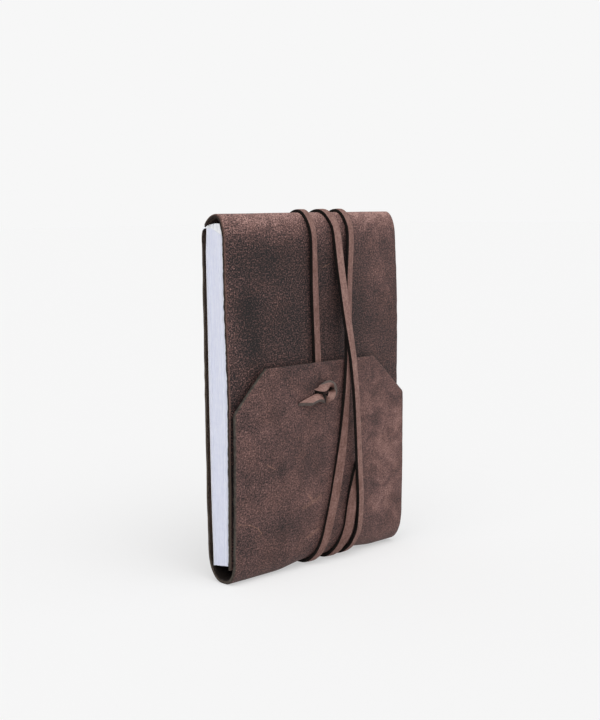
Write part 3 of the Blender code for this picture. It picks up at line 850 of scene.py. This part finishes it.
def add_winding(materials):
    """The thong from the knot's lead, round the book three times, to its tucked tail."""
    shares = np.linspace(THONG_ROUTE[0][0], THONG_ROUTE[-1][0], WINDING_POINTS)
    laid, breadths, rolls, paler = zip(*STRAP_SHAPE)
    breadth = MM * np.interp(shares, laid, breadths)
    roll = np.radians(np.interp(shares, laid, rolls))
    tone = np.interp(shares, laid, paler)
    seat = np.array([(x, *map(float, lap_seat(share, x))) for share, x in zip(shares, thong_x(shares))])
    height = seat[:, 2]
    low, high = TOP_HEIGHTS
    rise = between((THONG_PRESSED, THONG_CLEARANCE), smooth_step(height / PRESSED_HEIGHT))
    rise = between((rise, TOP_PRESSED), smooth_step((height - low) / (high - low))) + THONG_THICKNESS / 2
    rise += lap_lift(shares) + np.abs(np.sin(roll)) * breadth / 2 * ROLL_SEAT
    section = unit(np.gradient(seat[:, 1:], axis=0))
    window = np.hanning(2 * WINDING_SMOOTH + 1)
    padded = np.pad(section, ((WINDING_SMOOTH, WINDING_SMOOTH), (0, 0)), mode="edge")
    section = [np.convolve(column, window / window.sum(), mode="valid") for column in padded.T]
    forth, up = unit(np.column_stack(section)).T
    centres = seat + np.column_stack([0 * rise, -up * rise, forth * rise])
    rows = even_points(np.column_stack([centres, breadth, roll, tone]), THONG_STEP)
    run = np.arange(len(rows)) * THONG_STEP
    sway = np.array([THONG_ROLL * wander(THONG_ROLL_SEED, place / THONG_ROLL_SIZE, 0.0) for place in run])
    directions = np.tile((1.0, 0.0, 0.0), (len(rows), 1))
    path = rows[:, :3]
    breadth, roll, tone = rows[:, 3:].T
    strap = add_strap("wrap_thong_strap", path, directions, materials, breadth, roll + sway, tone)
    return strap, path


# The knot, from its lead behind the flap: across, out from the flap's face and up, from the slit and in
# millimetres, then the way that the strap's width points there, and how much lighter it is
KNOT_ROUTE = (
    (2.4, -2.7, 6.4, (1, 0, 0), 0.07),
    (1.2, -2.7, 4.4, (1, 0, 0), 0.07),
    (0.2, -2.5, 2.4, (1, 0, 0), 0.07),
    (0.0, -1.6, 0.7, (1, 0, 0.1), 0.07),
    (0.1, -0.4, 0.1, (1, 0, 0.3), 0.07),
    (0.9, 0.9, 0.3, (0.75, 0.1, 0.65), 0.07),
    (2.4, 1.9, 1.3, (0.15, 0.15, 0.97), 0.08),
    (4.4, 2.5, 2.3, (0.0, 0.45, 0.9), 0.08),
    # The next three rows darken the strap in the loop's hollow: painted shade
    (6.2, 2.5, 2.2, (0.0, 0.9, 0.4), -0.10),
    (7.3, 2.5, 1.0, (0.0, 1, 0), -0.50),
    (7.4, 2.6, -0.5, (0.0, 1, 0), -0.40),
    (6.7, 2.9, -1.9, (0.5, 0.85, -0.1), 0.05),
    (5.6, 2.6, -3.2, (0.9, 0.4, -0.1), 0.08),
    # The next two rows darken the strap between the loop and the tail: painted shadow
    (4.4, 1.6, -4.2, (0.8, 0.3, -0.3), -0.10),
    (2.6, 1.0, -4.1, (0.4, 0.3, -0.8), -0.80),
    (0.8, 1.4, -3.4, (0.1, 0.6, -0.7), -0.05),
    (-1.4, 1.9, -3.2, (0.0, 0.80, -0.60), 0.07),
    (-4.6, 2.0, -3.8, (0.1, 0.86, -0.50), 0.07),
    (-7.4, 2.0, -4.6, (0.12, 0.86, -0.50), 0.07),
    (-9.4, 2.0, -5.2, (0.12, 0.86, -0.50), 0.07),
)


def add_knot(materials):
    """The knot: the lead up behind the flap, the way through the slit, the loop on edge and the tail."""
    face = float(flap_y(SLIT_Z, across(SLIT_X)))
    points, widths, tones = [], [], []
    for dx, out, dz, (side, forth, up), tone in KNOT_ROUTE:
        points.append((SLIT_X + dx * MM, face - out * MM, SLIT_Z + dz * MM))
        widths.append((side, -forth, up))
        tones.append(tone)
    along = run_along(points)
    fine = np.linspace(0, along[-1], round(along[-1] / KNOT_STEP))
    centres = np.column_stack([curve_at(along, column, fine) for column in np.transpose(points)])
    directions = np.column_stack([curve_at(along, column, fine) for column in unit(np.array(widths)).T])
    breadth = np.full(len(fine), KNOT_BREADTH)
    tone = np.interp(fine, along, tones)
    return add_strap("thong_knot_strap", centres, directions, materials, breadth, 0 * fine, tone, KNOT_SLANT)


def loose(z, column):
    """How far the block lies to the left, or free of the front or the back cover, at a height."""
    rows = np.array(BLOCK_LOOSE).T
    return MM * float(curve_at(rows[0], rows[column], z / MM))


def block_face(z, u, back):
    """y of the outermost leaf, just free of the flesh face of the front or back cover."""
    gap = LEATHER + loose(z, 3 if back else 2)
    level = min(z, ARCH_Z)
    outer = float(back_y(level, u)) - gap if back else float(front_y(level, u)) + gap
    if z <= ARCH_Z:
        return outer
    rise = min((z - ARCH_Z) / (SPINE_TOP - LEATHER - ARCH_Z), BLOCK_ARCH_SHARE)
    return ARCH_MIDDLE + (outer - ARCH_MIDDLE) * math.cos(math.asin(rise))


def block_share(y):
    return (y - BLOCK_FRONT) / (BLOCK_BACK - BLOCK_FRONT)


def block_y(y, z, x):
    """Where a plane of the block lies once the covers press on it."""
    u = across(x)
    return between((block_face(z, u, False), block_face(z, u, True)), block_share(y))


def block_top(y):
    """The rounded back of the sewn pages."""
    return BLOCK_TOP_FRONT + BLOCK_TOP_RISE * (1 - (1 - block_share(y)) ** 2)


def add_leaves(name, low_y, high_y, leaves, materials, dice):
    """A stack of thin leaves between two planes of the block, as separate closed slabs."""
    points, faces, places = [], [], []
    pitch = (high_y - low_y) / leaves
    stack_shift = dice.uniform(-SIGNATURE_JITTER, SIGNATURE_JITTER)
    for leaf in range(leaves):
        near = low_y + pitch * leaf
        far = near + pitch * LEAF_SHARE
        left = -PAGE_HALF_WIDTH + stack_shift + dice.uniform(-LEAF_JITTER, LEAF_JITTER)
        right = PAGE_HALF_WIDTH + stack_shift + dice.uniform(-LEAF_JITTER, LEAF_JITTER)
        foot = PAGE_FOOT + FOOT_RISE * (1 - block_share(near)) + dice.uniform(0, FOOT_JITTER)
        faces += shell_faces(LEAF_ROWS + 1, 4, len(points))
        for z in np.linspace(foot, block_top((near + far) / 2), LEAF_ROWS + 1):
            for x, y in ((left, near), (right, near), (right, far), (left, far)):
                points.append((x + loose(z, 1), block_y(y, z, x), z))
                places.append((x, z, y))
    return add_plain(name, points, faces, materials, places)


def turned_pages(low_y, x):
    """The back face of the pages in front of a strip once they are turned up past it: heights and places."""
    heights = np.linspace(ARCH_Z, block_top(low_y), FAN_POINTS)
    forth = np.array([block_y(low_y, z, x) for z in heights]) - HINGE_Y
    up = heights - HINGE_Z
    turned = HINGE_Z - forth * math.sin(FAN_STEP) + up * math.cos(FAN_STEP)
    return turned, HINGE_Y + forth * math.cos(FAN_STEP) + up * math.sin(FAN_STEP) + FAN_ROOM


def lining_top(y, x):
    """How high the lining stands on a plane of the block, as far as the spine leaves room."""
    place = block_y(y, block_top(y), x)
    reach = (place - ARCH_MIDDLE) / (block_face(ARCH_Z, across(x), place > ARCH_MIDDLE) - ARCH_MIDDLE)
    ceiling = ARCH_Z + (SPINE_TOP - LEATHER - ARCH_Z) * math.sqrt(max(1 - reach * reach, 0)) - LINING_ROOM
    edge = MM * float(curve_at(*zip(*LINING_TOPS), place / MM))
    return max(min(edge, ceiling), block_top(y) + LINING_LEAST)


def add_lining(name, low_y, high_y, materials, corner):
    """The pale strip over the backs of the signatures, filling the spine."""
    planes = np.linspace(low_y, high_y, LINING_COLUMNS)
    points = []
    for station in np.linspace(-PAGE_HALF_WIDTH, PAGE_HALF_WIDTH, LINING_STATIONS + 1):
        x = loose(ARCH_Z, 1) + station
        ring = []
        for y in planes:
            z = block_top(y) + LINING_BASE
            ring.append((x, block_y(y, z, x), z))
        for y in reversed(planes):
            z = lining_top(y, x)
            ring.append((x, block_y(y, min(z, block_top(y) + MM), x), z))
        if low_y > BLOCK_FRONT + MM:
            room = turned_pages(low_y, x)
            ring = [(x, max(y, float(np.interp(z, *room))), z) for x, y, z in ring]
        points += ring
    faces = shell_faces(LINING_STATIONS + 1, 2 * LINING_COLUMNS)
    if corner:
        faces += shell_faces(2, len(LINING_CORNER), len(points))
        for thick in (0, CORNER_THICKNESS):
            points += [(-left * MM, back * MM + thick, up * MM - thick) for left, back, up in LINING_CORNER]
    return add_plain(name, points, faces, materials, [(x, z, y) for x, y, z in points])


class Nodes:
    """A node tree, and short ways to add nodes to it."""

    def __init__(self, tree):
        self.tree = tree

    def put(self, socket, value):
        if isinstance(value, bpy.types.NodeSocket):
            self.tree.links.new(value, socket)
        else:
            socket.default_value = value

    def node(self, kind, settings=(), **inputs):
        node = self.tree.nodes.new(kind)
        for key, value in dict(settings).items():
            setattr(node, key, value)
        for key, value in inputs.items():
            self.put(node.inputs[key.replace("_", " ")], value)
        return node

    def fill(self, node, *values):
        for socket, value in zip(node.inputs, values):
            self.put(socket, value)
        return node.outputs

    def math(self, operation, *values):
        return self.fill(self.node("ShaderNodeMath", {"operation": operation}), *values)[0]

    def vector(self, operation, *values):
        return self.fill(self.node("ShaderNodeVectorMath", {"operation": operation}), *values)

    def spread(self, value, low, high, to_low, to_high):
        return self.fill(self.node("ShaderNodeMapRange"), value, low, high, to_low, to_high)["Result"]

    def seen(self):
        """1 for what the camera sees, also in a mirror or through glass, and 0 for other light."""
        rays = self.node("ShaderNodeLightPath").outputs
        mirrored = self.math("MAXIMUM", rays["Is Camera Ray"], rays["Is Glossy Ray"])
        return self.math("MAXIMUM", mirrored, rays["Is Transmission Ray"])


class Shader(Nodes):
    """A material, and short ways to add its nodes."""

    def __init__(self, name):
        self.material = bpy.data.materials.new(name)
        self.material.use_nodes = True
        super().__init__(self.material.node_tree)

    def place(self):
        """Where a point lies on its piece: across, along and deep."""
        return self.node("ShaderNodeAttribute", {"attribute_name": "hide"}).outputs["Vector"]

    def tone(self):
        """How much lighter a point is than its piece."""
        return self.node("ShaderNodeAttribute", {"attribute_name": "tone"}).outputs["Fac"]

    def parts(self, vector):
        return self.node("ShaderNodeSeparateXYZ", Vector=vector).outputs

    def noise(self, vector, size, detail=3.0, roughness=0.55, distortion=0.0):
        node = self.node("ShaderNodeTexNoise", Vector=vector, Scale=1 / size, Detail=detail,
                         Roughness=roughness, Distortion=distortion)
        return node.outputs["Fac"]

    def ramp(self, factor, stops):
        node = self.node("ShaderNodeValToRGB", Fac=factor)
        node.color_ramp.elements[0].position = stops[0][0]
        node.color_ramp.elements[-1].position = stops[-1][0]
        for position, _ in stops[1:-1]:
            node.color_ramp.elements.new(position)
        for element, (_, colour) in zip(node.color_ramp.elements, stops):
            element.color = linear(colour)
        return node.outputs["Color"]

    def vary(self, base, *parts):
        """A base value plus each noise, about its middle, times its amount."""
        for value, amount in parts:
            base = self.math("ADD", base, self.math("MULTIPLY_ADD", value, amount, -0.5 * amount))
        return base

    def mix(self, factor, first, second):
        node = self.node("ShaderNodeMix", {"data_type": "RGBA"})
        for index, value in ((0, factor), (6, first), (7, second)):
            self.put(node.inputs[index], value)
        return node.outputs[2]

    def bump(self, height, distance, strength):
        node = self.node("ShaderNodeBump", Height=height, Distance=distance, Strength=strength)
        return node.outputs["Normal"]

    def finish(self, colour, roughness, specular, **inputs):
        surface = self.tree.nodes["Principled BSDF"]
        inputs.update(Base_Color=colour, Roughness=roughness, Specular_IOR_Level=specular)
        for key, value in inputs.items():
            self.put(surface.inputs[key.replace("_", " ")], value)
        return self.material


def linear(colour):
    """A colour written as 0 to 255, as it is seen, turned to the values that the shader takes."""
    values = [channel / 255 for channel in colour]
    return (*[v / 12.92 if v <= 0.04045 else ((v + 0.055) / 1.055) ** 2.4 for v in values], 1.0)


def scratch(s, place, start, end, width):
    """A value that is 1 on the line from start to end and falls to 0 at the given width from it."""
    line = end - start
    from_start = s.vector("SUBTRACT", place, start)["Vector"]
    share = s.math("DIVIDE", s.vector("DOT_PRODUCT", from_start, line)["Value"], line.length_squared)
    share.node.use_clamp = True
    nearest = s.node("ShaderNodeVectorMath", {"operation": "SCALE"}, Vector=line, Scale=share)
    away = s.vector("DISTANCE", from_start, nearest.outputs["Vector"])["Value"]
    fade = s.spread(away, 0.0, width, 1.0, 0.0)
    fade.node.interpolation_type = "SMOOTHSTEP"
    return fade


def scratches(s, place, whole):
    """The scratches of the hide as one value, wavering and broken up by a fine noise."""
    waver = s.node("ShaderNodeTexNoise", Vector=place, Scale=1 / SCRATCH_WAVER_SIZE, Detail=3.0)
    shift = (SCRATCH_WAVER, SCRATCH_WAVER, 0.0)
    moved = s.vector("MULTIPLY_ADD", waver.outputs["Color"], shift, place)["Vector"]
    flat = s.vector("MULTIPLY", moved, (1, 1, 0))["Vector"]
    lines = [(x0, along_front(z0), x1, along_front(z1), *rest) for x0, z0, x1, z1, *rest in FRONT_SCRATCHES]
    for x0, z0, x1, z1, *rest in FLAP_SCRATCHES:
        lines.append((x0, along_flap(x0, z0, whole), x1, along_flap(x1, z1, whole), *rest))
    total = 0.0
    for x0, s0, x1, s1, width, strength in lines:
        start = MM * Vector((x0, s0, 0))
        end = MM * Vector((x1, s1, 0))
        line = scratch(s, flat, start, end, SCRATCH_SOFTNESS * width * MM)
        total = s.math("MULTIPLY_ADD", line, strength, total)
    return s.math("MULTIPLY", total, s.spread(s.noise(place, 0.0009, 3), 0.38, 0.60, 0.1, 0.8))


def leather_grain(whole):
    """The hide's outer face: mottled brown, darker and lighter in patches, with nap, scratches and specks."""
    s = Shader("leather_grain")
    place = s.place()
    clouds = s.noise(place, 0.030, 3, 0.55, 0.6)
    blotch = s.noise(place, 0.0085, 4, 0.62, 0.8)
    mottle = s.noise(place, 0.0016, 3, 0.6)
    nap = s.noise(place, 0.00072, 3, 0.7)
    brushed = s.node("ShaderNodeMapping", Vector=place, Rotation=(0, 0, 0.5), Scale=(1, 0.22, 1))
    streak = s.noise(brushed.outputs["Vector"], 0.0016, 3, 0.6)
    # The hide's tone: its wear and stains together with its painted light and shade
    wear_and_painted_light = s.math("MULTIPLY_ADD", s.tone(), s.spread(blotch, 0.35, 0.65, 0.7, 1.3), GRAIN_BASE)
    parts = s.parts(place)
    coarse = s.math("MULTIPLY", s.spread(parts["X"], -HALF_WIDTH, HALF_WIDTH, 1.15, 0.55),
                    s.spread(parts["Y"], *COARSE_TO_FINE, 1.45, 1.0))
    grain = s.math("MULTIPLY", s.vary(0.0, (mottle, 0.5), (nap, 2.3)), coarse)
    tone = s.math("ADD", s.vary(wear_and_painted_light, (clouds, 0.26), (blotch, 0.58), (streak, 0.16)), grain)
    warmth = s.spread(s.noise(place, 0.014, 3, 0.6, 0.5), 0.42, 0.66, 0.0, 0.30)
    colour = s.mix(warmth, s.ramp(tone, GRAIN_COLOURS), s.ramp(tone, WARM_COLOURS))
    colour = s.mix(scratches(s, place, whole), colour, linear((168, 126, 108)))
    dots = s.node("ShaderNodeTexVoronoi", Vector=place, Scale=1 / SPECK_SPACING).outputs
    chosen = s.math("GREATER_THAN", s.parts(dots["Color"])["X"], SPECKLESS_SHARE)
    speck = s.math("MULTIPLY", chosen, s.spread(dots["Distance"], 0.03, 0.06, 0.7, 0.0))
    colour = s.mix(speck, colour, linear((176, 150, 140)))
    height = s.math("MULTIPLY_ADD", nap, 0.7, s.math("MULTIPLY", mottle, 0.5))
    rough = s.spread(mottle, 0.3, 0.7, 0.58, 0.74)
    return s.finish(colour, rough, 0.25, Normal=s.bump(height, 0.00022, 0.7))


def leather_cut():
    """The hide's cut edge: a tan rim on the front and the spine, dark brown at the back, grey at the flap, near
    black at the flesh side partly as painted shade of the gap by the pages.
    """
    s = Shader("leather_cut")
    place = s.place()
    parts = s.parts(place)
    fibres = s.noise(place, 0.0006, 4, 0.65)
    depth = s.vary(s.math("MULTIPLY", parts["Z"], 1 / LEATHER), (fibres, 0.8))
    colour, rim, dark, grey = (s.ramp(depth, stops) for stops in EDGE_COLOURS)
    broken = s.spread(s.noise(place, 0.0014, 3, 0.6), 0.42, 0.6, 0.0, 0.65)
    rim = s.mix(broken, rim, linear((58, 46, 42)))
    grey = s.mix(broken, grey, linear((44, 40, 37)))
    for starts, edge in zip(EDGE_STARTS, (rim, dark, grey)):
        colour = s.mix(s.spread(parts["Y"], *starts, 0.0, 1.0), colour, edge)
    return s.finish(colour, 0.9, 0.15, Normal=s.bump(fibres, 0.0003, 0.8))


def leather_flesh():
    """The hide's inner face: a rough, paler brown suede, with painted shade inside the fold."""
    s = Shader("leather_flesh")
    place = s.place()
    nap = s.noise(place, 0.0007, 5, 0.7)
    cloud = s.noise(place, 0.012, 3, 0.6)
    tone = s.math("MULTIPLY_ADD", nap, 0.6, s.math("MULTIPLY", cloud, 0.5))
    run = s.parts(place)["Y"]
    # Painted shade: the flesh face inside the fold made near black
    before = s.spread(run, *FOLD_SHADE_START, 0.0, 1.0)
    inside = s.math("MULTIPLY", before, s.spread(run, *FOLD_SHADE_END, 1.0, 0.0))
    colour = s.mix(inside, s.ramp(tone, FLESH_COLOURS), linear((26, 20, 17)))
    return s.finish(colour, 0.95, 0.15, Normal=s.bump(nap, 0.0003, 0.7))


def thong_face():
    """The thong's faces: paler worn brown with a fine nap, lightly streaked along its length."""
    s = Shader("thong_face")
    place = s.place()
    stretched = s.node("ShaderNodeMapping", Vector=place, Scale=(1, 0.4, 1)).outputs["Vector"]
    streak = s.noise(stretched, 0.0013, 4, 0.6)
    nap = s.noise(place, 0.0009, 3, 0.6)
    cloud = s.noise(place, 0.014, 3, 0.55)
    tone = s.vary(s.math("ADD", s.tone(), 0.5), (streak, 0.35), (nap, 0.45), (cloud, 0.18))
    return s.finish(s.ramp(tone, THONG_COLOURS), 0.74, 0.25, Normal=s.bump(nap, 0.00015, 0.6))


def strap_cut(name, stops):
    """What the cut sides of the straps share: a shader, the colours of its fibres and their relief."""
    s = Shader(name)
    fibres = s.noise(s.place(), 0.0008, 4, 0.65)
    return s, s.ramp(fibres, stops), s.bump(fibres, 0.0003, 0.6)


def thong_cut():
    """The thong's cut sides: near black, their own dark colour together with painted shade of the strap's shaded
    sides.
    """
    s, colour, normal = strap_cut("thong_cut", THONG_CUT_COLOURS)
    return s.finish(colour, 0.9, 0.15, Normal=normal)


def knot_cut():
    """The cut sides of the knot's strap: pale grey fibres on the side turned out, and painted shade, near black,
    on the other.
    """
    s, pale, normal = strap_cut("knot_cut", KNOT_CUT_COLOURS)
    turned_out = s.math("GREATER_THAN", s.parts(s.place())["X"], THONG_CORNER / 3 - KNOT_BREADTH / 2)
    return s.finish(s.mix(turned_out, linear((24, 19, 17)), pale), 0.9, 0.15, Normal=normal)


def paper(name, dark, light):
    """Cool white paper with the faint tone of its separate leaves."""
    s = Shader(name)
    place = s.place()
    flat = s.node("ShaderNodeMapping", Vector=place, Scale=(0.3, 0.05, 1)).outputs["Vector"]
    lines = s.noise(flat, 0.0004, 3, 0.6)
    fibre = s.noise(place, 0.0025, 4, 0.6)
    tone = s.math("MULTIPLY_ADD", lines, 0.7, s.math("MULTIPLY", fibre, 0.3))
    return s.finish(s.ramp(tone, ((0.3, dark), (0.65, light))), 0.9, 0.2, Normal=s.bump(fibre, 0.00005, 0.3))


def add_camera():
    camera = add_object("camera", bpy.data.cameras.new("camera"))
    camera.data.lens = CAMERA_LENS
    camera.data.sensor_width = CAMERA_SENSOR
    camera.matrix_world = Matrix.Translation(CAMERA_PLACE)
    for angle, axis in ((-CAMERA_PAN, "Z"), (math.pi / 2 - CAMERA_TILT, "X"), (CAMERA_ROLL, "Z")):
        camera.matrix_world = camera.matrix_world @ Matrix.Rotation(angle, 4, axis)
    bpy.context.scene.camera = camera


def add_stage():
    """A plain pale floor, soft light from all round, and broad lamps from above and from the right."""
    mesh = bpy.data.meshes.new("floor")
    corners = [(x * FLOOR_HALF, y * FLOOR_HALF, 0) for x, y in ((-1, -1), (1, -1), (1, 1), (-1, 1))]
    mesh.from_pydata(corners, [], [(0, 1, 2, 3)])
    floor = add_object("floor", mesh)
    s = Shader("floor")
    tone = linear(FLOOR_TONE)
    even = s.math("MULTIPLY", s.seen(), FLOOR_EVEN)
    shaded = s.mix(even, tone, (0.0, 0.0, 0.0, 1.0))
    mesh.materials.append(s.finish(shaded, 0.95, 0.0, Emission_Color=tone, Emission_Strength=even))
    world = bpy.data.worlds.new("world")
    bpy.context.scene.world = world
    world.use_nodes = True
    sky = Nodes(world.node_tree)
    back = world.node_tree.nodes["Background"]
    back.inputs["Color"].default_value = (1, 1, 1, 1)
    sky.put(back.inputs["Strength"], sky.spread(sky.seen(), 0.0, 1.0, AMBIENT, BACKGROUND))
    add_sun("key", KEY_FROM, KEY_LEVEL, KEY_SPREAD)
    add_sun("top", TOP_FROM, TOP_LEVEL, TOP_SPREAD)


def add_sun(name, place, level, spread):
    """A soft, even lamp far off towards place. At level 1 a white face turned to it is seen as white."""
    lamp = bpy.data.lights.new(name, "SUN")
    lamp.energy = math.pi * level
    lamp.angle = spread
    add_object(name, lamp).rotation_euler = Vector(place).to_track_quat("Z", "Y").to_euler()


def dress_hide():
    rows, along = hide_rows()
    materials = [leather_grain(along[-1]), leather_cut(), leather_flesh()]
    front = add_hide("leather_front", 0, SPINE_SEAM, rows, along, materials, free_start=True)
    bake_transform(front)
    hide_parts("front_cover", "spine_fold")
    back = add_hide("leather_back", SPINE_SEAM, FOLD_SEAM, rows, along, materials)
    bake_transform(back)
    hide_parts("back_cover", "fore_edge_fold")
    flap = add_hide("leather_flap", FOLD_SEAM, 5, rows, along, materials, free_end=True, slit=True)
    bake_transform(flap)
    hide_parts("closing_flap")


def dress_thong():
    face = thong_face()
    strap, path = add_winding([face, thong_cut()])
    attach(strap, "thong")
    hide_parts("wrap_thong")
    knot = add_knot([face, knot_cut()])
    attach(knot, "flap")
    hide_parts("thong_knot")


def dress_pages():
    dice = random.Random(PAPER_SEED)
    page = paper("page_paper", (226, 229, 245), (243, 245, 254))
    end = paper("endpaper", (232, 233, 242), (248, 248, 252))
    cloth = paper("lining_cloth", (232, 234, 238), (246, 247, 250))
    bodies = frame["record"]["behaviour"]["bodies"]
    body_of = {node: body for body, nodes in bodies.items() for node in nodes}
    for node in sorted(frame["nodes"]):
        low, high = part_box(node)
        if node.startswith("signature_"):
            name = node.replace("signature", "leaves")
            piece = add_leaves(name, low.y, high.y, LEAVES_IN_SIGNATURE, [page], dice)
        elif node.endswith("_endpaper"):
            piece = add_leaves(node + "_sheet", low.y, high.y, 1, [end], dice)
        elif node.startswith("spine_lining_"):
            last = high.y > BLOCK_BACK - MM
            piece = add_lining(node.replace("lining", "strip"), low.y, high.y, [cloth], last)
        else:
            continue
        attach(piece, body_of[node])
        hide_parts(node)


bpy.context.scene.view_settings.view_transform = "Standard"
add_camera()
add_stage()
dress_hide()
dress_thong()
dress_pages()
